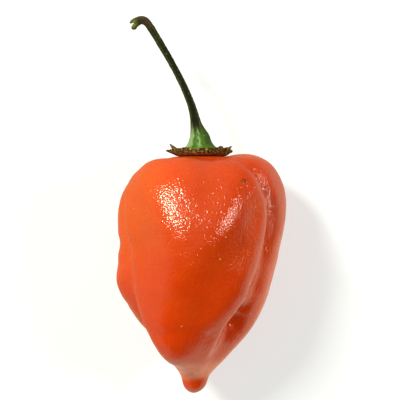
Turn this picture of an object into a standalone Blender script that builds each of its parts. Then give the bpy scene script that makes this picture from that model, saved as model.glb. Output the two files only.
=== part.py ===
"""Chilli pepper of the habanero kind, as picked, lying on its side.

Metres, +Z up, and Z = 0 is the surface that the pod lies on. The pod's tip points along -Y and
its stem along +Y, and the origin is the middle of the whole pepper's underside. It has three
grown organs: the pod, the calyx on the pod's shoulder and the stem.

Every size below is in millimetres. A station is the distance from the pod's top, where the
calyx sits, towards the tip. Angles are in degrees about the pod's axis, from +X over +Z.
"""

import bmesh
import bpy
import numpy as np
from mathutils import Vector

MM = 0.001

# Driving dimensions.
POD_LENGTH = 50.0
POD_RADIUS = 17.1
AXIS_HEIGHT = 15.8  # from the surface up to the pod's axis
TOP_FLAT = (5.8, 9.0)  # the calyx's seat: its relief fades in between these radii
GAP = 0.3  # between pieces that touch

# Mesh densities.
POD_RINGS, POD_SIDES = 46, 72
CALYX_SIDES = 72
STEM_POINTS = 44

# The pod's outline from top centre to tip: (station / POD_LENGTH, radius / POD_RADIUS).
POD_OUTLINE = [
    (0.006, 0.0), (0.006, 0.22), (0.002, 0.42), (0.002, 0.60), (0.022, 0.78),
    (0.072, 0.91), (0.150, 0.99), (0.260, 1.03), (0.380, 0.99), (0.500, 0.95),
    (0.620, 0.86), (0.730, 0.69), (0.830, 0.45), (0.895, 0.26), (0.930, 0.165),
    (0.965, 0.150), (0.990, 0.110), (1.004, 0.040), (1.004, 0.0),
]
# Sideways shift of the pod's axis: (station / POD_LENGTH, X).
POD_BEND = [(0.0, 0.3), (0.25, 0.1), (0.5, -0.9), (0.7, -0.8), (0.85, -0.9), (1.0, -1.3)]

# Three lobes stand out from the outline, with a valley between each pair. They turn a little
# about the axis on the way down: (station / POD_LENGTH, angle of the front lobe).
LOBE_COUNT = 3
FRONT_LOBE_ANGLE = [(0.0, 90), (0.3, 87), (0.6, 95), (0.8, 104), (1.0, 106)]
LOBE_HEIGHT = 0.8

# Swellings and hollows pressed along the pod's surface, which fade out at both ends of their
# paths: (height, half width, [(distance from the top's centre along the skin, angle), ...]).
SWELLINGS = {
    "right shoulder": (0.9, 5.0, [(9, -20), (17, -15), (25, -5), (33, 0)]),
    "left belly": (1.1, 5.0, [(35, 196), (45, 192)]),
    "front crest left": (0.8, 5.5, [(18, 118), (29, 115), (39, 117), (50, 124), (58, 128)]),
    "front crest right": (0.6, 4.5, [(17, 66), (25, 58), (35, 56)]),
    "front keel": (1.7, 4.6, [(45, 104), (53, 106), (61, 106)]),
    "back belly left": (1.7, 6.5, [(34, 240), (43, 240)]),
    "back belly right": (1.7, 6.5, [(34, 300), (43, 300)]),
}
HOLLOWS = {
    "left shoulder": (-1.7, 6.0, [(9, 165), (12, 190), (17, 215)]),
    "right valley": (-1.7, 2.4, [(8, 58), (16, 40), (21, 26), (28, 20), (35, 24), (41, 28)]),
    "right facet": (-1.3, 4.5, [(42, 52), (49, 54), (58, 52)]),
    "right dimple": (-1.7, 2.8, [(47, 40), (54, 45)]),
    "left valley": (-1.6, 2.6, [(27, 150), (37, 156), (46, 158), (57, 162)]),
    "left waist": (-0.6, 4.0, [(30, 182), (34, 184)]),
    "left flank": (-0.7, 4.0, [(50, 175), (59, 178)]),
    "front valley": (-0.5, 4.0, [(14, 90), (25, 86), (35, 82), (46, 76)]),
    "back valley": (-1.9, 3.2, [(14, 272), (27, 272), (42, 270), (58, 268)]),
}
STROKE_STEPS = 30
STROKE_ENDS = 0.18  # how far up the sine arch of its fade a stroke starts, in half turns
TOP_CENTER = (POD_BEND[0][1], 0.0, AXIS_HEIGHT)  # of the pod

# The calyx's section from its underside's middle round the rim to its top's middle:
# (distance from the axis, height over the pod's top, share of the teeth's reach and lift).
CALYX_SECTION = [
    (0.0, GAP, 0), (2.5, GAP, 0), (4.4, GAP, 0), (5.2, 0.6, 0.1), (5.7, 1.0, 0.45),
    (6.1, 1.5, 1.0), (5.8, 1.75, 1.0), (5.3, 1.6, 0.5), (4.6, 1.35, 0.1), (2.5, 1.3, 0),
    (0.0, 1.3, 0),
]
# The teeth of its rim: (angle, reach, lift).
CALYX_TEETH = [
    (8, 1.0, -0.3), (60, 0.2, 0.2), (120, 0.2, 0.1), (178, 1.4, -0.2), (215, 1.4, 0.9),
    (262, 0.5, 0.5), (308, 1.0, 0.8), (343, 1.0, 0.7),
]
TOOTH_HALF_WIDTH = 12.0

# The stem from the calyx to its hooked end: (X, height over the pod's top, radius).
STEM_ROUTE = [
    (0.0, 1.3 + GAP, 3.4), (0.0, 2.6, 2.7), (-0.3, 4.0, 1.9), (-0.9, 6.3, 1.25), (-1.3, 8.6, 0.98),
    (-1.9, 11.3, 0.86), (-3.1, 14.3, 0.8), (-4.7, 17.6, 0.78), (-6.5, 20.7, 0.78),
    (-8.3, 23.5, 0.8), (-9.9, 26.4, 0.85), (-10.9, 28.4, 0.92), (-12.4, 29.4, 0.95),
    (-13.8, 28.8, 0.95), (-14.9, 27.6, 0.95),
]
STEM_RISE = 2.0  # of its far end over the pod's axis


def spline(points, count):
    """count points, evenly spaced along the cubic B-spline that these control points give."""
    held = np.array([points[0]] * 2 + list(points) + [points[-1]] * 2, float)
    u = np.linspace(0, 1, 40, endpoint=False)[:, None]
    weights = ((1 - u) ** 3, 3 * u**3 - 6 * u**2 + 4, -3 * u**3 + 3 * u**2 + 3 * u + 1, u**3)
    spans = [
        sum(weight * held[i + k] for k, weight in enumerate(weights)) / 6
        for i in range(len(held) - 3)
    ]
    line = np.vstack([*spans, held[-1:]])
    along = np.concatenate([[0], np.cumsum(np.linalg.norm(np.diff(line, axis=0), axis=1))])
    at = np.linspace(0, along[-1], count)
    return np.stack([np.interp(at, along, column) for column in line.T], axis=1)


def smooth_step(x, low, high):
    t = np.clip((x - low) / (high - low), 0, 1)
    return t * t * (3 - 2 * t)


def pod_profile(count):
    """Stations, radii and outward normals (along the axis, outwards) of the pod's outline."""
    line = spline(POD_OUTLINE, count) * (POD_LENGTH, POD_RADIUS)
    tangent = np.gradient(line, axis=0)
    normal = np.stack([-tangent[:, 1], tangent[:, 0]], axis=1)
    return line[:, 0], line[:, 1], normal / np.linalg.norm(normal, axis=1)[:, None]


def round_axis(out, station, angle):
    """Points at these radii, stations and angles (radians) about the pod's straight axis."""
    return np.stack([out * np.cos(angle), -station + 0 * angle, out * np.sin(angle)], axis=-1)


def stroke_height(points, height, half_width, path):
    """How far one swelling or hollow lifts these points of the pod's plain outline."""
    station, radius, _ = pod_profile(400)
    skin = np.concatenate([[0], np.cumsum(np.hypot(np.diff(station), np.diff(radius)))])
    along, angle = spline(path, STROKE_STEPS).T
    spine = round_axis(
        np.interp(along, skin, radius), np.interp(along, skin, station), np.radians(angle)
    )
    nearest = np.full(points.shape[:-1], np.inf)
    share = np.zeros(points.shape[:-1])
    for i, (start, end) in enumerate(zip(spine, spine[1:])):
        step = end - start
        reach = np.clip((points - start) @ step / (step @ step), 0, 1)
        away = np.linalg.norm(points - start - reach[..., None] * step, axis=-1)
        share = np.where(away < nearest, (i + reach) / (STROKE_STEPS - 1), share)
        nearest = np.minimum(away, nearest)
    fade = np.sin((STROKE_ENDS + (1 - 2 * STROKE_ENDS) * share) * np.pi) ** 1.5
    return height * fade * np.exp(-((nearest / half_width) ** 2))


def pod_points(ring_count, side_count):
    """The pod's surface as rings of points, from top centre to tip."""
    station, radius, normal = pod_profile(ring_count)
    station, radius = station[:, None], radius[:, None]
    angle = np.linspace(0, 2 * np.pi, side_count, endpoint=False)[None, :]
    base = round_axis(radius, station, angle)
    outward = round_axis(normal[:, 1:], normal[:, :1], angle)
    turn = spline(FRONT_LOBE_ANGLE, 100)
    crest = np.radians(np.interp(station, turn[:, 0] * POD_LENGTH, turn[:, 1]))
    lobes = np.cos(LOBE_COUNT * (angle - crest))
    height = LOBE_HEIGHT * lobes * (radius / POD_RADIUS) ** 1.5
    for stroke in [*SWELLINGS.values(), *HOLLOWS.values()]:
        height = height + stroke_height(base, *stroke)
    free = np.where(station > POD_LENGTH / 2, 1, smooth_step(radius, *TOP_FLAT))
    points = base + outward * (height * free)[..., None]
    bend = spline(POD_BEND, 100)
    points[..., 0] += np.interp(station, bend[:, 0] * POD_LENGTH, bend[:, 1])
    return points


def closed_mesh(name, rings):
    """A closed mesh over rings of points. The first and last rings are poles of one point."""
    made = bmesh.new()
    first = made.verts.new(rings[0][0])
    last = made.verts.new(rings[-1][0])
    hoops = [[made.verts.new(p) for p in ring] for ring in rings[1:-1]]
    sides = len(hoops[0])
    for i in range(sides):
        j = (i + 1) % sides
        made.faces.new((first, hoops[0][i], hoops[0][j]))
        made.faces.new((last, hoops[-1][j], hoops[-1][i]))
        for low, high in zip(hoops, hoops[1:]):
            made.faces.new((low[i], high[i], high[j], low[j]))
    bmesh.ops.recalc_face_normals(made, faces=made.faces)
    mesh = bpy.data.meshes.new(name)
    made.to_mesh(mesh)
    made.free()
    mesh.shade_smooth()
    obj = bpy.data.objects.new(name, mesh)
    bpy.context.scene.collection.objects.link(obj)
    return obj


def finish(obj, color, roughness):
    material = bpy.data.materials.new(obj.name)
    material.use_nodes = True
    surface = material.node_tree.nodes["Principled BSDF"]
    surface.inputs["Base Color"].default_value = (*color, 1)
    surface.inputs["Roughness"].default_value = roughness
    obj.data.materials.append(material)


def make_pod():
    points = pod_points(POD_RINGS, POD_SIDES)
    points[..., 2] = np.maximum(points[..., 2] + AXIS_HEIGHT, 0)
    pod = closed_mesh("pod", points * MM)
    finish(pod, (0.85, 0.1, 0.01), 0.3)
    return pod


def calyx_points(side_count):
    """The calyx's surface as rings of points, from the underside's middle to the top's."""
    angle = np.linspace(0, 360, side_count, endpoint=False)
    reach, lift = 0, 0
    for tooth, tooth_reach, tooth_lift in CALYX_TEETH:
        away = (angle - tooth + 180) % 360 - 180
        tooth_share = np.exp(-((away / TOOTH_HALF_WIDTH) ** 2))
        reach = reach + tooth_reach * tooth_share
        lift = lift + tooth_lift * tooth_share
    rings = [
        round_axis(out + share * reach, -up - share * lift, np.radians(angle))
        for out, up, share in CALYX_SECTION
    ]
    return np.array(rings)


def make_calyx():
    calyx = closed_mesh("calyx", (calyx_points(CALYX_SIDES) + TOP_CENTER) * MM)
    finish(calyx, (0.09, 0.05, 0.012), 0.8)
    return calyx


def make_stem():
    route = spline(STEM_ROUTE, STEM_POINTS)
    curve = bpy.data.curves.new("stem", "CURVE")
    curve.dimensions = "3D"
    curve.bevel_depth = MM
    curve.bevel_resolution = 4
    curve.use_fill_caps = True
    line = curve.splines.new("POLY")
    line.points.add(len(route) - 1)
    for point, (x, y, radius) in zip(line.points, route):
        rise = STEM_RISE * smooth_step(y, 0, STEM_ROUTE[-1][1])
        place = np.array((x, y, rise)) + TOP_CENTER
        point.co = (*place * MM, 1)
        point.radius = radius
    stem = bpy.data.objects.new("stem", curve)
    bpy.context.scene.collection.objects.link(stem)
    finish(stem, (0.05, 0.08, 0.01), 0.6)
    return stem


def center_on_origin(pieces):
    """Moves the pieces together until the middle of their underside is at the origin."""
    bpy.context.view_layer.update()
    corners = np.array([Vector(corner) for piece in pieces for corner in piece.bound_box])
    low, high = corners.min(axis=0), corners.max(axis=0)
    pepper = bpy.data.objects.new("pepper", None)
    bpy.context.scene.collection.objects.link(pepper)
    pepper.location = (-(low[0] + high[0]) / 2, -(low[1] + high[1]) / 2, -low[2])
    for piece in pieces:
        piece.parent = pepper


def main():
    for obj in list(bpy.data.objects):
        bpy.data.objects.remove(obj)
    center_on_origin([make_pod(), make_calyx(), make_stem()])


main()
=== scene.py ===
"""Looks of a ripe habanero chilli that lies on a pale floor, seen from straight above.

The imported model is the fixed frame: metres, +Z up, the floor at Z = 0, the pod's tip towards -Y
and its stem towards +Y. Sizes named below are in millimetres, which MM turns into metres. A
station is the distance from the pod's top, where the calyx sits, towards the tip. Angles are in
degrees about the pod's axis, from +X over +Z, which faces the camera.
"""

import bpy
import numpy as np
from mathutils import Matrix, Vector


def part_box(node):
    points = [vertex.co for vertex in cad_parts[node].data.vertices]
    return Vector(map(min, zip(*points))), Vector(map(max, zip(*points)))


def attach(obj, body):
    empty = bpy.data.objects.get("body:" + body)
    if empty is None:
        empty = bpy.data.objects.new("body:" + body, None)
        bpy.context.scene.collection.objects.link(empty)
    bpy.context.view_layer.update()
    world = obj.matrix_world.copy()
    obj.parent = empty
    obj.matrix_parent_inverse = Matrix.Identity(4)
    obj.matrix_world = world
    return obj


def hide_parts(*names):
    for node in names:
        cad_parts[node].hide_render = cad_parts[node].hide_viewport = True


MM = 0.001
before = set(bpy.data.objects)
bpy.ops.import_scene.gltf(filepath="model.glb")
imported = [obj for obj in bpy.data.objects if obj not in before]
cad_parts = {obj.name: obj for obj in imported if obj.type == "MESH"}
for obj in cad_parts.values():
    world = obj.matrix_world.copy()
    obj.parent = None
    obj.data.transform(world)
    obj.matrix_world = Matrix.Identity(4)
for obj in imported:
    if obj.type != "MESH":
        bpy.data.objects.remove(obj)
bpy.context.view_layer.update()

# Driving dimensions, the same as the solids'.
POD_LENGTH = 50.0
POD_RADIUS = 17.1
AXIS_HEIGHT = 15.8
CALYX_GAP = 0.3
FOOT_RADIUS = 3.4
# The middle of the pod's top: the calyx stands just clear of it, and the stem's foot on its axis.
TOP = np.array((
    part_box("stem")[1].x / MM - FOOT_RADIUS,
    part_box("calyx")[0].y / MM - CALYX_GAP,
    AXIS_HEIGHT,
))

# Mesh densities.
POD_RINGS, POD_SIDES = 250, 300
CALYX_RINGS, CALYX_SIDES = 60, 240
STEM_STEPS, BRANCH_STEPS = 260, 30
STALK_SIDES = 60
# Steps of the curves that only steer a shape.
SPAN_STEPS = 40  # between two control points of any spline
OUTLINE_STEPS = 400
TREND_STEPS = 100
STROKE_STEPS = 30

# The pod's outline from top centre to tip: (station / POD_LENGTH, radius / POD_RADIUS).
POD_OUTLINE = [
    (0.006, 0.0), (0.006, 0.22), (0.002, 0.42), (0.002, 0.60), (0.022, 0.78),
    (0.072, 0.91), (0.150, 0.99), (0.260, 1.03), (0.380, 0.99), (0.500, 0.95),
    (0.620, 0.86), (0.730, 0.69), (0.830, 0.45), (0.895, 0.26), (0.930, 0.165),
    (0.965, 0.150), (0.990, 0.110), (1.004, 0.040), (1.004, 0.0),
]
# Sideways shift of the pod's axis from its top: (station / POD_LENGTH, X).
POD_BEND = [(0.0, 0.0), (0.25, -0.2), (0.5, -1.2), (0.7, -1.1), (0.85, -1.2), (1.0, -1.6)]
# Three lobes that turn a little on the way down: (station / POD_LENGTH, front lobe's angle).
LOBE_COUNT = 3
FRONT_LOBE_ANGLE = [(0.0, 90), (0.3, 87), (0.6, 95), (0.8, 104), (1.0, 106)]
LOBE_HEIGHT = 0.8
TOP_FLAT = (5.8, 9.0)  # the calyx's seat: the pod's relief fades in between these radii
CONTACT_RISE = (0.05, 1.5)  # the crinkle fades in between these heights over the floor
CALYX_FREE = (0.2, 1.2)  # the calyx's crinkle fades in between these heights over the pod's top
# Swellings and hollows pressed along the skin, which fade out at both ends of their paths:
# (height, half width, [(distance from the top's centre along the skin, angle), ...]).
STROKES = {
    "right shoulder": (1.0, 5.0, [(9, -20), (17, -15), (25, -5), (33, 0)]),
    "right shoulder front": (0.5, 3.5, [(9, 28), (14, 12), (20, 0)]),
    "left belly": (1.3, 4.5, [(36, 180), (45, 180)]),
    "left front": (0.9, 5.0, [(16, 145), (24, 142), (32, 136)]),
    "front lobe": (0.8, 6.5, [(24, 100), (34, 108), (46, 118), (58, 122)]),
    "left roll": (1.3, 4.2, [(12, 146), (20, 127), (27, 111), (33, 101), (40, 92)]),
    "right roll": (1.35, 4.7, [(14, 49), (19, 56), (24, 67), (30, 80), (38, 97)]),
    "right plateau": (1.5, 4.6, [(32, 55), (39, 57), (45, 63), (51, 76)]),
    "right crest": (1.0, 3.0, [(14, 58), (18, 48), (24, 40), (29, 42), (35, 46), (42, 51)]),
    "front keel": (1.4, 4.6, [(42, 110), (50, 112), (59, 112)]),
    "left plateau": (1.2, 3.6, [(42, 134), (50, 134), (58, 128)]),
    "chin": (1.9, 3.9, [(49, 113), (55, 114), (60, 112)]),
    "dimple ridge": (0.8, 1.8, [(43, 48), (48, 59), (53, 66), (58, 74)]),
    "back belly left": (1.7, 6.5, [(34, 240), (43, 240)]),
    "back belly right": (1.7, 6.5, [(34, 300), (43, 300)]),
    "left shoulder": (-2.0, 6.0, [(8, 160), (12, 188), (17, 215)]),
    "left corner": (-1.0, 3.0, [(8, 140), (9, 175), (9, 205)]),
    "left tip": (-1.6, 2.8, [(49, 152), (55, 147), (61, 142)]),
    "right valley": (-2.3, 2.6, [(8, 58), (16, 38), (21, 26), (28, 22), (34, 24), (41, 28)]),
    "right facet": (-1.9, 4.6, [(43, 36), (49, 42), (55, 46)]),
    "right dimple": (-2.0, 3.6, [(47.5, 40), (50, 42), (52.5, 44)]),
    "dimple rim": (-0.5, 0.9, [(50, 57), (46.5, 47), (46.5, 30)]),
    "left valley": (-1.5, 2.8, [(19, 174), (27, 163), (33, 156), (38, 154), (45, 157)]),
    "left groove": (-2.2, 1.8, [(45, 153), (50, 158), (54, 164), (58, 171)]),
    "left ridge": (1.0, 3.0, [(18, 166), (25, 150), (33, 141), (41, 142), (48, 146)]),
    "left waist": (-0.6, 4.0, [(30, 182), (34, 184)]),
    "left flank": (-0.7, 4.0, [(50, 178), (59, 182)]),
    "top pinch": (-1.4, 4.0, [(7, 84), (13, 85), (20, 85)]),
    "front valley": (-0.3, 3.5, [(18, 84), (26, 84)]),
    "back valley": (-1.9, 3.2, [(14, 272), (27, 272), (42, 270), (58, 268)]),
}
BLEMISH = (8.7, 4.7, 0.0)  # X and Y of the small brown scar on the right shoulder
STROKE_ENDS = 0.18  # how far up the sine arch of its fade a stroke starts, in half turns

# The calyx's section from its underside's middle round the rim to its top's middle:
# (distance from the axis, height over the pod's top, share of the teeth's reach and lift).
CALYX_SECTION = [
    (0.0, -0.1, 0), (2.5, -0.1, 0), (4.7, -0.1, 0), (5.4, 0.0, 0), (5.7, 0.4, 0.2),
    (5.9, 0.8, 0.5), (6.1, 1.1, 0.9), (6.1, 1.3, 1.0), (6.1, 1.6, 1.0), (5.8, 1.5, 0.7),
    (5.3, 1.4, 0.3), (4.4, 1.5, 0), (2.5, 1.5, 0), (0.0, 1.5, 0),
]
# The teeth of its rim: (angle, half width, reach, lift).
CALYX_TEETH = [
    (6, 8, 0.55, -0.35), (30, 9, 0.3, 0.35), (62, 8, 0.2, 0.15), (98, 6, 0.15, -0.15),
    (126, 9, 0.15, 0.2), (152, 7, 0.2, 0.1), (178, 8, 1.5, -0.25), (206, 7, 1.5, 1.3),
    (262, 12, 0.5, 0.5), (308, 10, 0.9, 0.8), (345, 8, 0.6, 0.8),
]

# The stem from the calyx to its hooked end: (X, height over the pod's top, radius).
STEM_ROUTE = [
    (-0.4, 1.1, 4.7), (-0.4, 1.4, 4.0), (-0.4, 1.9, 3.2), (-0.42, 2.8, 2.45),
    (-0.45, 4.0, 2.15), (-0.8, 5.3, 1.6), (-1.15, 6.7, 1.12), (-1.5, 8.6, 0.94),
    (-2.1, 11.0, 0.78),
    (-3.7, 14.8, 0.74), (-5.1, 17.6, 0.72), (-6.7, 20.5, 0.72), (-8.2, 23.0, 0.74),
    (-9.6, 25.3, 0.76), (-10.9, 27.4, 0.76), (-11.8, 28.6, 0.86), (-13.0, 28.7, 0.88),
    (-13.8, 28.3, 0.85), (-14.3, 28.0, 0.6),
]
# What grows out of it: the two prongs of its torn end, and the scars of a node.
STEM_BRANCHES = [
    [(-12.9, 28.7, 0.6), (-13.7, 28.8, 0.5), (-14.4, 28.6, 0.4), (-14.9, 28.2, 0.3),
     (-15.15, 27.95, 0.1)],
    [(-13.0, 28.3, 0.6), (-13.7, 27.9, 0.58), (-14.1, 27.45, 0.55), (-14.3, 27.0, 0.55),
     (-14.35, 26.75, 0.4), (-14.35, 26.65, 0.05)],
    [(-9.4, 25.1, 0.55), (-9.05, 25.25, 0.5), (-8.9, 25.3, 0.42), (-8.75, 25.3, 0.05)],
    [(-9.8, 25.7, 0.6), (-10.3, 25.7, 0.55), (-10.6, 25.6, 0.4), (-10.7, 25.55, 0.05)],
]
STEM_END = (-14.5, 27.8)  # X and height of the middle of the torn end
STEM_RISE = 2.0  # of its far end over the pod's axis

# The studio.
FLOOR_HALF = 6000.0
CAMERA_PLACE = (-0.24, 0.78, 370.0)
CAMERA_LENS, CAMERA_SENSOR = 150, 36
CAMERA_NEAR = 10.0
LAMP_AIM = (0.0, -8.0, 16.0)  # a point in the pod that both lamps face
LAMP_DISTANCE = 1200.0
UNLIT = (0.02, 0.02, 0.02)  # the dark parts of the roof


def spline(points, count):
    """count points, evenly spaced along the cubic B-spline that these control points give."""
    held = np.array([points[0]] * 2 + list(points) + [points[-1]] * 2, float)
    u = np.linspace(0, 1, SPAN_STEPS, endpoint=False)[:, None]
    weights = ((1 - u) ** 3, 3 * u**3 - 6 * u**2 + 4, -3 * u**3 + 3 * u**2 + 3 * u + 1, u**3)
    spans = [
        sum(weight * held[i + k] for k, weight in enumerate(weights)) / 6
        for i in range(len(held) - 3)
    ]
    line = np.vstack([*spans, held[-1:]])
    along = np.concatenate([[0], np.cumsum(np.linalg.norm(np.diff(line, axis=0), axis=1))])
    at = np.linspace(0, along[-1], count)
    return np.stack([np.interp(at, along, column) for column in line.T], axis=1)


def smooth_step(x, low, high):
    t = np.clip((x - low) / (high - low), 0, 1)
    return t * t * (3 - 2 * t)


# ---------------------------------------------------------------- node trees


class Field:
    """One socket of a node tree. Arithmetic on it adds Math nodes."""

    def __init__(self, graph, socket):
        self.graph, self.socket = graph, socket

    def math(self, operation, first, second):
        return self.graph.add("ShaderNodeMath", {"operation": operation}, {0: first, 1: second})

    def __add__(self, other):
        return self.math("ADD", self, other)

    def __sub__(self, other):
        return self.math("SUBTRACT", self, other)

    def __rsub__(self, other):
        return self.math("SUBTRACT", other, self)

    def __mul__(self, other):
        return self.math("MULTIPLY", self, other)

    __radd__ = __add__
    __rmul__ = __mul__

    def __getitem__(self, name):
        """Another output of the same node."""
        return Field(self.graph, self.socket.node.outputs[name])


class Graph:
    """A material's tree or a Geometry Nodes tree."""

    def __init__(self, tree):
        self.tree = tree

    def add(self, kind, settings=None, sockets=None, out=0):
        """A node of this type. Its settings come first, then its sockets' values or links."""
        node = self.tree.nodes.new(kind)
        for name, value in (settings or {}).items():
            setattr(node, name, value)
        for key, value in (sockets or {}).items():
            if isinstance(value, Field):
                self.tree.links.new(value.socket, node.inputs[key])
            else:
                node.inputs[key].default_value = value
        return Field(self, node.outputs[out]) if node.outputs else None

    def noise(self, place, scale, detail=2.0, roughness=0.5):
        sockets = {"Vector": place, "Scale": scale, "Detail": detail, "Roughness": roughness}
        return self.add("ShaderNodeTexNoise", {"normalize": True}, sockets)

    def step(self, value, low, high):
        """0 below low and 1 above high, smooth between them; low may be the greater one."""
        sockets = {"Value": value, "From Min": low, "From Max": high}
        return self.add("ShaderNodeMapRange", {"interpolation_type": "SMOOTHSTEP"}, sockets)

    def mix(self, share, first, second):
        """One colour turning into another as share goes from 0 to 1."""
        colors = {6: first, 7: second}
        for key, color in colors.items():
            if not isinstance(color, Field):
                colors[key] = (*color, 1)
        return self.add("ShaderNodeMix", {"data_type": "RGBA"}, {0: share, **colors}, out=2)

    def stretch(self, place, scale):
        return self.add("ShaderNodeMapping", {}, {"Vector": place, "Scale": scale})

    def bump(self, height, depth, under=None):
        """Normals of a height field of this many millimetres, laid over another bump's."""
        sockets = {"Height": height, "Distance": depth * MM}
        if under:
            sockets["Normal"] = under
        return self.add("ShaderNodeBump", {}, sockets)


def material(name, constants):
    """A material, its graph, its place in millimetres and a function that feeds its surface."""
    made = bpy.data.materials.new(name)
    made.use_nodes = True
    graph = Graph(made.node_tree)
    surface = made.node_tree.nodes["Principled BSDF"]
    for socket, value in constants.items():
        surface.inputs[socket].default_value = value
    place = graph.stretch(graph.add("ShaderNodeTexCoord", out="Object"), (1 / MM,) * 3)

    def feed(**fields):
        for socket, field in fields.items():
            made.node_tree.links.new(field.socket, surface.inputs[socket.replace("_", " ")])

    return made, graph, place, feed


def geometry_tree(name, sizes):
    """A Geometry Nodes tree with these named sizes as inputs: its graph and its inputs."""
    tree = bpy.data.node_groups.new(name, "GeometryNodeTree")
    tree.interface.new_socket("Geometry", in_out="INPUT", socket_type="NodeSocketGeometry")
    for size, kind in sizes.items():
        tree.interface.new_socket(size, in_out="INPUT", socket_type=f"NodeSocket{kind}")
    tree.interface.new_socket("Geometry", in_out="OUTPUT", socket_type="NodeSocketGeometry")
    graph = Graph(tree)
    return graph, graph.add("NodeGroupInput")


def end_tree(graph, geometry, inputs):
    """Ends a tree: smooth shading, real geometry and the Material input's finish."""
    smooth = graph.add("GeometryNodeSetShadeSmooth", {}, {"Geometry": geometry})
    real = graph.add("GeometryNodeRealizeInstances", {}, {"Geometry": smooth})
    sockets = {"Geometry": real, "Material": inputs["Material"]}
    graph.add("NodeGroupOutput", {}, {0: graph.add("GeometryNodeSetMaterial", {}, sockets)})
    return graph.tree


def grown(name, source, tree, values):
    """The plain mesh that this tree makes of source, as a new object; source is removed."""
    modifier = source.modifiers.new("grow", "NODES")
    modifier.node_group = tree
    for item in tree.interface.items_tree:
        if item.in_out == "INPUT" and item.name in values:
            modifier[item.identifier] = values[item.name]
    evaluated = source.evaluated_get(bpy.context.evaluated_depsgraph_get())
    mesh = bpy.data.meshes.new_from_object(evaluated)
    mesh.name = name
    bpy.data.objects.remove(source)
    return shown(name, mesh)


def shown(name, data):
    obj = bpy.data.objects.new(name, data)
    bpy.context.scene.collection.objects.link(obj)
    return obj


# ---------------------------------------------------------------- shapes


def round_axis(out, station, angle):
    """Points at these radii, stations and angles (radians) about the pod's straight axis."""
    return np.stack([out * np.cos(angle), -station + 0 * angle, out * np.sin(angle)], axis=-1)


def closed_mesh(name, rings):
    """A closed mesh over rings of points. The first and last rings are poles of one point."""
    count, sides = len(rings) - 2, len(rings[0])
    points = np.vstack([rings[0][:1], *rings[1:-1], rings[-1][:1]])
    last = len(points) - 1
    faces = []
    for i in range(sides):
        j = (i + 1) % sides
        faces.append((0, 1 + j, 1 + i))
        for ring in range(count - 1):
            low = 1 + ring * sides
            faces.append((low + i, low + j, low + sides + j, low + sides + i))
        low = 1 + (count - 1) * sides
        faces.append((last, low + i, low + j))
    mesh = bpy.data.meshes.new(name)
    mesh.from_pydata((points * MM).tolist(), [], faces)
    return mesh


def pod_profile(count):
    """Stations, radii and outward normals (along the axis, outwards) of the pod's outline."""
    line = spline(POD_OUTLINE, count) * (POD_LENGTH, POD_RADIUS)
    tangent = np.gradient(line, axis=0)
    normal = np.stack([-tangent[:, 1], tangent[:, 0]], axis=1)
    return line[:, 0], line[:, 1], normal / np.linalg.norm(normal, axis=1)[:, None]


def stroke_height(points, height, half_width, path):
    """How far one swelling or hollow lifts these points of the pod's plain outline."""
    station, radius, _ = pod_profile(OUTLINE_STEPS)
    skin = np.concatenate([[0], np.cumsum(np.hypot(np.diff(station), np.diff(radius)))])
    along, angle = spline(path, STROKE_STEPS).T
    spine = round_axis(
        np.interp(along, skin, radius), np.interp(along, skin, station), np.radians(angle)
    )
    nearest = np.full(points.shape[:-1], np.inf)
    share = np.zeros(points.shape[:-1])
    for i, (start, end) in enumerate(zip(spine, spine[1:])):
        step = end - start
        reach = np.clip((points - start) @ step / (step @ step), 0, 1)
        away = np.linalg.norm(points - start - reach[..., None] * step, axis=-1)
        share = np.where(away < nearest, (i + reach) / (STROKE_STEPS - 1), share)
        nearest = np.minimum(away, nearest)
    fade = np.sin((STROKE_ENDS + (1 - 2 * STROKE_ENDS) * share) * np.pi) ** 1.5
    return height * fade * np.exp(-((nearest / half_width) ** 2))


def pod_points():
    """The pod's surface as rings of points, from top centre to tip."""
    station, radius, normal = pod_profile(POD_RINGS)
    station, radius = station[:, None], radius[:, None]
    angle = np.linspace(0, 2 * np.pi, POD_SIDES, endpoint=False)[None, :]
    base = round_axis(radius, station, angle)
    outward = round_axis(normal[:, 1:], normal[:, :1], angle)
    turn = spline(FRONT_LOBE_ANGLE, TREND_STEPS)
    crest = np.radians(np.interp(station, turn[:, 0] * POD_LENGTH, turn[:, 1]))
    lobes = np.cos(LOBE_COUNT * (angle - crest))
    height = LOBE_HEIGHT * lobes * (radius / POD_RADIUS) ** 1.5
    for stroke in STROKES.values():
        height = height + stroke_height(base, *stroke)
    free = np.where(station > POD_LENGTH / 2, 1, smooth_step(radius, *TOP_FLAT))
    points = base + outward * (height * free)[..., None]
    bend = spline(POD_BEND, TREND_STEPS)
    points[..., 0] += np.interp(station, bend[:, 0] * POD_LENGTH, bend[:, 1])
    points += TOP
    points[..., 2] = np.maximum(points[..., 2], 0)
    return points


def calyx_points():
    """The calyx's surface as rings of points, from the underside's middle to the top's."""
    angle = np.linspace(0, 360, CALYX_SIDES, endpoint=False)
    reach, lift = 0, 0
    for tooth, half_width, tooth_reach, tooth_lift in CALYX_TEETH:
        away = (angle - tooth + 180) % 360 - 180
        tooth_share = np.exp(-((away / half_width) ** 2))
        reach = reach + tooth_reach * tooth_share
        lift = lift + tooth_lift * tooth_share
    rings = [
        round_axis(out + share * reach, -up - share * lift, np.radians(angle))
        for out, up, share in spline(CALYX_SECTION, CALYX_RINGS)
    ]
    return np.array(rings) + TOP


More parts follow.
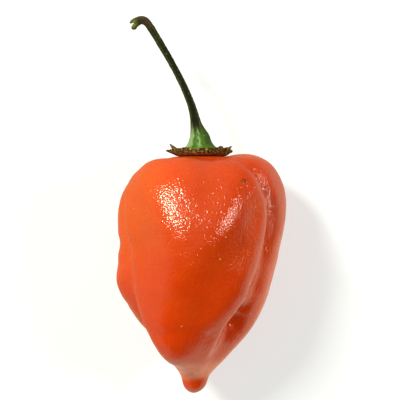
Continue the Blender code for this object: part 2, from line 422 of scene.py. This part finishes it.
def stem_path():
    """The centre lines of the stem and its branches as a curve with their radii."""
    curve = bpy.data.curves.new("stem path", "CURVE")
    curve.dimensions = "3D"
    routes = [spline(STEM_ROUTE, STEM_STEPS)]
    routes += [spline(branch, BRANCH_STEPS) for branch in STEM_BRANCHES]
    for route in routes:
        line = curve.splines.new("POLY")
        line.points.add(len(route) - 1)
        for point, (x, y, radius) in zip(line.points, route):
            rise = STEM_RISE * smooth_step(y, 0, STEM_ROUTE[-1][1])
            place = np.array((x, y, rise)) + TOP
            point.co = (*place * MM, 1)
            point.radius = radius * MM
    return shown("stem path", curve)


# ---------------------------------------------------------------- growth trees


def crinkle_tree():
    """Lifts a skin along its normals by coarse folds and a fine grain."""
    sizes = {
        "Fold height": "Float", "Fold size": "Float", "Grain height": "Float",
        "Grain size": "Float", "Material": "Material",
    }
    graph, inputs = geometry_tree("crinkle", sizes)
    place = graph.add("GeometryNodeInputPosition")
    height = 0
    for kind, detail in (("Fold", 1.0), ("Grain", 3.0)):
        size = inputs[f"{kind} size"]
        scale = graph.add("ShaderNodeMath", {"operation": "DIVIDE"}, {0: 1.0, 1: size})
        height = (graph.noise(place, scale, detail) - 0.5) * inputs[f"{kind} height"] + height
    free = graph.add("GeometryNodeInputNamedAttribute", {"data_type": "FLOAT"}, {"Name": "free"})
    lift = graph.add(
        "ShaderNodeVectorMath", {"operation": "SCALE"},
        {0: graph.add("GeometryNodeInputNormal"), "Scale": height * free},
    )
    moved = graph.add(
        "GeometryNodeSetPosition", {}, {"Geometry": inputs["Geometry"], "Offset": lift}
    )
    return end_tree(graph, moved, inputs)


def stalk_tree():
    """A ribbed stalk round a path, as thick as the path's radii."""
    sizes = {
        "Rib depth": "Float", "Rib count": "Float", "Twist": "Float", "Bark height": "Float",
        "Bark size": "Float", "Material": "Material",
    }
    graph, inputs = geometry_tree("ribbed stalk", sizes)
    spot = graph.add("GeometryNodeSplineParameter")
    twisted = graph.add(
        "GeometryNodeSetCurveTilt", {},
        {"Curve": inputs["Geometry"], "Tilt": spot["Factor"] * inputs["Twist"]},
    )
    run = graph.add(
        "GeometryNodeStoreNamedAttribute", {"data_type": "FLOAT", "domain": "POINT"},
        {"Geometry": twisted, "Name": "run", "Value": spot["Length"]},
    )
    circle = graph.add(
        "GeometryNodeCurvePrimitiveCircle", {}, {"Resolution": STALK_SIDES, "Radius": 1.0}
    )
    around = graph.add(
        "GeometryNodeStoreNamedAttribute", {"data_type": "FLOAT_VECTOR", "domain": "POINT"},
        {"Geometry": circle, "Name": "around", "Value": graph.add("GeometryNodeInputPosition")},
    )
    turn = graph.add("GeometryNodeSplineParameter")["Factor"] * (2 * np.pi)
    wave = graph.add("ShaderNodeMath", {"operation": "COSINE"}, {0: turn * inputs["Rib count"]})
    ribbed = graph.add(
        "GeometryNodeSetPosition", {},
        {
            "Geometry": around,
            "Position": graph.add(
                "ShaderNodeVectorMath", {"operation": "SCALE"},
                {
                    0: graph.add("GeometryNodeInputPosition"),
                    "Scale": 1 + inputs["Rib depth"] * wave,
                },
            ),
        },
    )
    stalk = graph.add(
        "GeometryNodeCurveToMesh", {},
        {
            "Curve": run, "Profile Curve": ribbed, "Fill Caps": True,
            "Scale": graph.add("GeometryNodeInputRadius"),
        },
    )
    scale = graph.add("ShaderNodeMath", {"operation": "DIVIDE"}, {0: 1.0, 1: inputs["Bark size"]})
    bark = graph.noise(graph.add("GeometryNodeInputPosition"), scale, 3.0) - 0.5
    lift = graph.add(
        "ShaderNodeVectorMath", {"operation": "SCALE"},
        {0: graph.add("GeometryNodeInputNormal"), "Scale": bark * inputs["Bark height"]},
    )
    moved = graph.add("GeometryNodeSetPosition", {}, {"Geometry": stalk, "Offset": lift})
    return end_tree(graph, moved, inputs)


# ---------------------------------------------------------------- finishes


def pod_skin():
    """Waxy orange-red skin with a fine grain, and painted shade, painted light and a painted
    reflection in its colour.
    """
    constants = {
        "Subsurface Weight": 0.12, "Subsurface Radius": (1.0, 0.25, 0.08),
        "Subsurface Scale": 2.5 * MM, "Specular IOR Level": 0.8,
        "Specular Tint": (1.0, 0.96, 0.8, 1.0),
    }
    made, graph, place, feed = material("pod skin", constants)
    # Blotches, streaks along the pod and small cells vary the ripe orange.
    blotch = graph.noise(place, 0.11, 3.0)
    streak = graph.noise(graph.stretch(place, (1.0, 0.12, 1.0)), 1.3, 3.0)
    cells = graph.noise(place, 3.0, 2.0, 0.6)
    color = graph.mix(graph.step(blotch, 0.3, 0.7), (0.72, 0.056, 0.001), (0.78, 0.080, 0.003))
    color = graph.mix(graph.step(streak, 0.45, 0.8) * 0.14, color, (0.90, 0.15, 0.02))
    color = graph.mix(graph.step(cells, 0.3, 0.7) * 0.12, color, (0.70, 0.04, 0.002))
    # Painted shade: deeper towards the tip, on the right shoulder and down the middle. Painted
    # light: paler on the left.
    spot = graph.add("ShaderNodeSeparateXYZ", {}, {0: place})
    # painted shade towards the tip; the same mask also fades the grain's gloss further down
    tip = graph.step(spot["Y"], -4.0, -26.0)
    color = graph.mix(tip * 0.5, color, (0.66, 0.040, 0.001))
    # painted shade on the right shoulder
    shoulder = graph.step(spot["X"] + 0.6 * spot["Y"], 7.0, 16.0)
    color = graph.mix(shoulder * 0.6, color, (0.60, 0.044, 0.002))
    # painted shade down the middle
    middle = graph.step(spot["X"], -11.0, 1.0) * graph.step(spot["X"], 13.0, 8.0)
    color = graph.mix(middle * (0.60 - 0.50 * tip), color, (0.50, 0.036, 0.001))
    # painted light: the side towards the key lamp made paler and more orange
    left = graph.step(spot["X"], -5.0, -13.0) * graph.step(spot["Y"], -18.0, -2.0)
    color = graph.mix(left * 0.6, color, (0.73, 0.105, 0.004))
    # A painted reflection as a pale ring at the nipple; pale dots all over and the scar.
    # painted reflection: the pale ring at the nipple
    ring = spot["Y"] + 3.0 * blotch
    end = graph.step(ring, -30.5, -33.8) * graph.step(ring, -36.0, -34.8)
    color = graph.mix(end * 0.65, color, (0.95, 0.27, 0.11))
    lenticels = graph.add("ShaderNodeTexVoronoi", {}, {"Vector": place, "Scale": 0.22})
    color = graph.mix(graph.step(lenticels, 0.06, 0.03) * 0.8, color, (0.95, 0.40, 0.16))
    flat = graph.add(
        "ShaderNodeVectorMath", {"operation": "DISTANCE"},
        {0: graph.stretch(place, (1.0, 1.0, 0.0)), 1: BLEMISH}, out="Value",
    )
    color = graph.mix(graph.step(flat + 0.9 * cells, 1.1, 0.6) * 0.8, color, (0.13, 0.03, 0.01))
    # Pits, cells, dents and scratches break up the gloss; pits and cells fade towards the tip.
    rough = 0.09 + 0.06 * cells + 0.05 * blotch
    pits = graph.add("ShaderNodeTexVoronoi", {}, {"Vector": place, "Scale": 2.4})
    dents = graph.bump(graph.noise(place, 1.2, 1.0), 0.05)
    scratches = graph.noise(graph.stretch(place, (1.0, 0.25, 1.0)), 1.8, 1.0)
    dents = graph.bump(graph.step(scratches, 0.60, 0.68), 0.025, dents)
    shallow = pits * pits * (1 - 0.75 * tip)
    grain = graph.bump(shallow, -0.06, graph.bump(cells * (1 - 0.6 * tip), 0.03, dents))
    feed(Base_Color=color, Roughness=rough, Normal=grain)
    return made


def calyx_husk():
    """Dry brown husk, olive and tan on the rim, reddish under it."""
    made, graph, place, feed = material("calyx husk", {"Specular IOR Level": 0.12})
    patches = graph.noise(place, 0.9, 4.0, 0.6)
    flecks = graph.noise(place, 2.4, 3.0, 0.65)
    up = graph.add("ShaderNodeSeparateXYZ", {}, {0: place})["Y"] - TOP[1]
    color = graph.mix(graph.step(patches, 0.4, 0.6), (0.060, 0.020, 0.002), (0.070, 0.055, 0.005))
    color = graph.mix(graph.step(flecks, 0.50, 0.66) * 0.85, color, (0.42, 0.30, 0.08))
    color = graph.mix(graph.step(flecks, 0.48, 0.38) * 0.9, color, (0.010, 0.005, 0.001))
    under = graph.step(up + 0.6 * patches, 1.0, 0.6)
    red = graph.mix(graph.step(patches, 0.3, 0.7), (0.10, 0.016, 0.002), (0.30, 0.045, 0.003))
    color = graph.mix(under * 0.9, color, red)
    feed(
        Base_Color=color, Roughness=0.55 + 0.3 * flecks,
        Normal=graph.bump(flecks, 0.15, graph.bump(patches, 0.2)),
    )
    return made


def stem_skin():
    """Ribbed green stalk: bright green foot, olive length, brown and yellow-green hook; painted
    shade along its top and on the foot's right, a painted highlight on the foot's left.
    """
    made, graph, place, feed = material("stem skin", {"Specular IOR Level": 0.18})
    around = graph.add("ShaderNodeAttribute", {"attribute_name": "around"}, out="Vector")
    run = graph.add("ShaderNodeAttribute", {"attribute_name": "run"}, out="Fac") * (1 / MM)
    line = graph.add("ShaderNodeCombineXYZ", {}, {"Z": run * 0.12})
    grain_place = graph.add("ShaderNodeVectorMath", {"operation": "ADD"}, {0: around, 1: line})
    stripes = graph.noise(grain_place, 3.5, 3.0, 0.6)
    specks = graph.noise(place, 2.8, 3.0, 0.65)
    spot = graph.add("ShaderNodeSeparateXYZ", {}, {0: place})
    across, up = spot["X"] - TOP[0], spot["Y"] - TOP[1]
    facing = graph.add("ShaderNodeNewGeometry", out="Normal")
    facing = graph.add("ShaderNodeSeparateXYZ", {}, {0: facing})
    foot = graph.step(up + 3.0 * stripes, 8.6, 5.2)
    # painted shade: the stalk's upward faces darkened almost to black
    painted_top_shade = graph.step(facing["Z"] + 0.6 * stripes, 1.02, 1.25) * (1 - foot)
    green = graph.mix(foot, (0.038, 0.048, 0.003), (0.052, 0.150, 0.002))
    green = graph.mix(graph.step(stripes, 0.5, 0.75) * 0.5, green, (0.10, 0.17, 0.02))
    green = graph.mix(painted_top_shade * 0.9, green, (0.003, 0.005, 0.001))
    # painted highlight: a pale mint facet on the left side of the foot
    painted_foot_highlight = graph.step(facing["X"] - 0.5 * stripes, -0.42, -0.62) * foot
    green = graph.mix(painted_foot_highlight * 0.75, green, (0.30, 0.46, 0.20))
    # painted shade: the foot's right side darkened
    green = graph.mix(graph.step(facing["X"], 0.45, 0.9) * foot * 0.8, green, (0.02, 0.05, 0.001))
    hook = graph.step(up, 26.0, 28.0)
    green = graph.mix(hook * 0.7, green, (0.060, 0.034, 0.014))
    away = graph.add(
        "ShaderNodeVectorMath", {"operation": "LENGTH"},
        {0: graph.add(
            "ShaderNodeCombineXYZ", {}, {"X": across - STEM_END[0], "Y": up - STEM_END[1]}
        )}, out="Value",
    )
    green = graph.mix(graph.step(away + 2.0 * specks, 2.4, 1.4) * 0.8, green, (0.17, 0.21, 0.03))
    green = graph.mix(graph.step(specks, 0.62, 0.72) * 0.6, green, (0.40, 0.42, 0.28))
    feed(
        Base_Color=green, Roughness=0.70 - 0.35 * foot + 0.2 * specks,
        Normal=graph.bump(stripes, 0.14, graph.bump(specks, 0.12)),
    )
    return made


# ---------------------------------------------------------------- pieces


def with_free(mesh, free):
    """Stores how freely the crinkle may move each point of a mesh."""
    layer = mesh.attributes.new("free", "FLOAT", "POINT")
    layer.data.foreach_set("value", np.ravel(free).astype(np.float32))
    return mesh


def ring_values(values):
    """One value for each point of a closed_mesh of these rings."""
    return np.concatenate([values[0][:1], *values[1:-1], values[-1][:1]])


def make_pod(crinkle):
    points = pod_points()
    out = np.hypot(points[..., 0] - TOP[0], points[..., 2] - TOP[2])
    top = points[..., 1] > TOP[1] - POD_LENGTH / 2
    free = np.where(top, smooth_step(out, *TOP_FLAT), 1)
    free = free * smooth_step(points[..., 2], *CONTACT_RISE)
    mesh = with_free(closed_mesh("pod skin", points), ring_values(free))
    values = {
        "Fold height": 0.35 * MM, "Fold size": 5.0 * MM, "Grain height": 0.02 * MM,
        "Grain size": 0.8 * MM, "Material": pod_skin(),
    }
    return grown("pod_skin", shown("pod base", mesh), crinkle, values)


def make_calyx(crinkle):
    points = calyx_points()
    free = smooth_step(points[..., 1] - TOP[1], *CALYX_FREE)
    mesh = with_free(closed_mesh("calyx husk", points), ring_values(free))
    values = {
        "Fold height": 0.5 * MM, "Fold size": 1.6 * MM, "Grain height": 0.22 * MM,
        "Grain size": 0.5 * MM, "Material": calyx_husk(),
    }
    return grown("calyx_husk", shown("calyx base", mesh), crinkle, values)


def make_stem():
    values = {
        "Rib depth": 0.07, "Rib count": 5.0, "Twist": 1.2, "Bark height": 0.2 * MM,
        "Bark size": 0.7 * MM, "Material": stem_skin(),
    }
    return grown("stem_stalk", stem_path(), stalk_tree(), values)


# ---------------------------------------------------------------- stage


def make_floor():
    half = FLOOR_HALF * MM
    corners = [(-half, -half, 0), (half, -half, 0), (half, half, 0), (-half, half, 0)]
    mesh = bpy.data.meshes.new("floor")
    mesh.from_pydata(corners, [], [(0, 1, 2, 3)])
    constants = {
        "Roughness": 0.9, "Specular IOR Level": 0.0,
        "Emission Color": (0.97, 0.995, 1, 1), "Emission Strength": 0.54,
    }
    made, graph, place, feed = material("floor", constants)
    feed(Base_Color=graph.mix(graph.noise(place, 0.01), (0.49, 0.53, 0.53), (0.51, 0.55, 0.55)))
    mesh.materials.append(made)
    floor = shown("floor", mesh)
    floor.visible_glossy = False  # gloss mirrors the studio round the floor instead


def make_lamp(name, direction, size, power, color):
    """A rectangular lamp of this size in metres, in this direction from the pod."""
    lamp = bpy.data.lights.new(name, "AREA")
    lamp.shape = "RECTANGLE"
    lamp.size, lamp.size_y = size
    lamp.energy = power
    lamp.color = color
    obj = shown(name, lamp)
    back = Vector(direction).normalized()
    obj.location = (Vector(LAMP_AIM) + back * LAMP_DISTANCE) * MM
    obj.rotation_euler = (-back).to_track_quat("-Z", "Y").to_euler()
    obj.visible_camera = False


def make_world():
    """The studio round the pod: a dim roof, walls that are paler on the right, a warm ground."""
    world = bpy.data.worlds.new("studio")
    bpy.context.scene.world = world
    world.use_nodes = True
    graph = Graph(world.node_tree)
    direction = graph.add("ShaderNodeTexCoord", out="Generated")
    parts = graph.add("ShaderNodeSeparateXYZ", {}, {0: direction})
    height, side = parts["Z"], parts["X"] - 1.1 * parts["Y"]
    over = graph.mix(graph.step(parts["Y"], -0.5, 0.35), UNLIT, (0.38, 0.36, 0.33))
    over = graph.mix(graph.step(parts["X"], 0.1, 0.6) * 0.75, over, UNLIT)
    turn = graph.step(side, -0.3, 0.7)
    rim = graph.mix(turn, (0.44, 0.42, 0.36), (0.72, 0.70, 0.64))
    sky = graph.mix(graph.step(height + 0.3 * parts["X"], 0.50, -0.10), over, rim)
    low = graph.mix(turn, (0.42, 0.36, 0.28), (0.90, 0.81, 0.66))
    below = graph.mix(turn, (0.75, 0.32, 0.18), (0.90, 0.70, 0.52))
    low = graph.mix(graph.step(height, -0.5, -0.95), low, below)
    low = graph.mix(graph.step(parts["Y"], -0.72, -1.0), low, (1.0, 0.92, 0.78))
    light = graph.mix(graph.step(height, 0.0, -0.2), sky, low)
    world.node_tree.links.new(light.socket, world.node_tree.nodes["Background"].inputs["Color"])


def make_camera():
    lens = bpy.data.cameras.new("camera")
    lens.lens, lens.sensor_width = CAMERA_LENS, CAMERA_SENSOR
    lens.clip_start = CAMERA_NEAR * MM
    camera = shown("camera", lens)
    camera.location = Vector(CAMERA_PLACE) * MM
    bpy.context.scene.camera = camera


def main():
    make_camera()
    make_world()
    make_floor()
    make_lamp("key lamp", (-0.50, 0.45, 0.75), (0.21, 0.33), 13.8, (1.0, 0.97, 0.86))
    make_lamp("side lamp", (0.68, 0.10, 0.62), (0.20, 0.34), 6.0, (1.0, 0.94, 0.88))
    bpy.context.scene.view_settings.view_transform = "Standard"
    crinkle = crinkle_tree()
    pieces = {
        "pod": (make_pod(crinkle), "pod_skin"),
        "calyx": (make_calyx(crinkle), "calyx"),
        "stem": (make_stem(), "stem"),
    }
    for node, (piece, slot) in pieces.items():
        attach(piece, "root")
        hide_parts(node)


main()
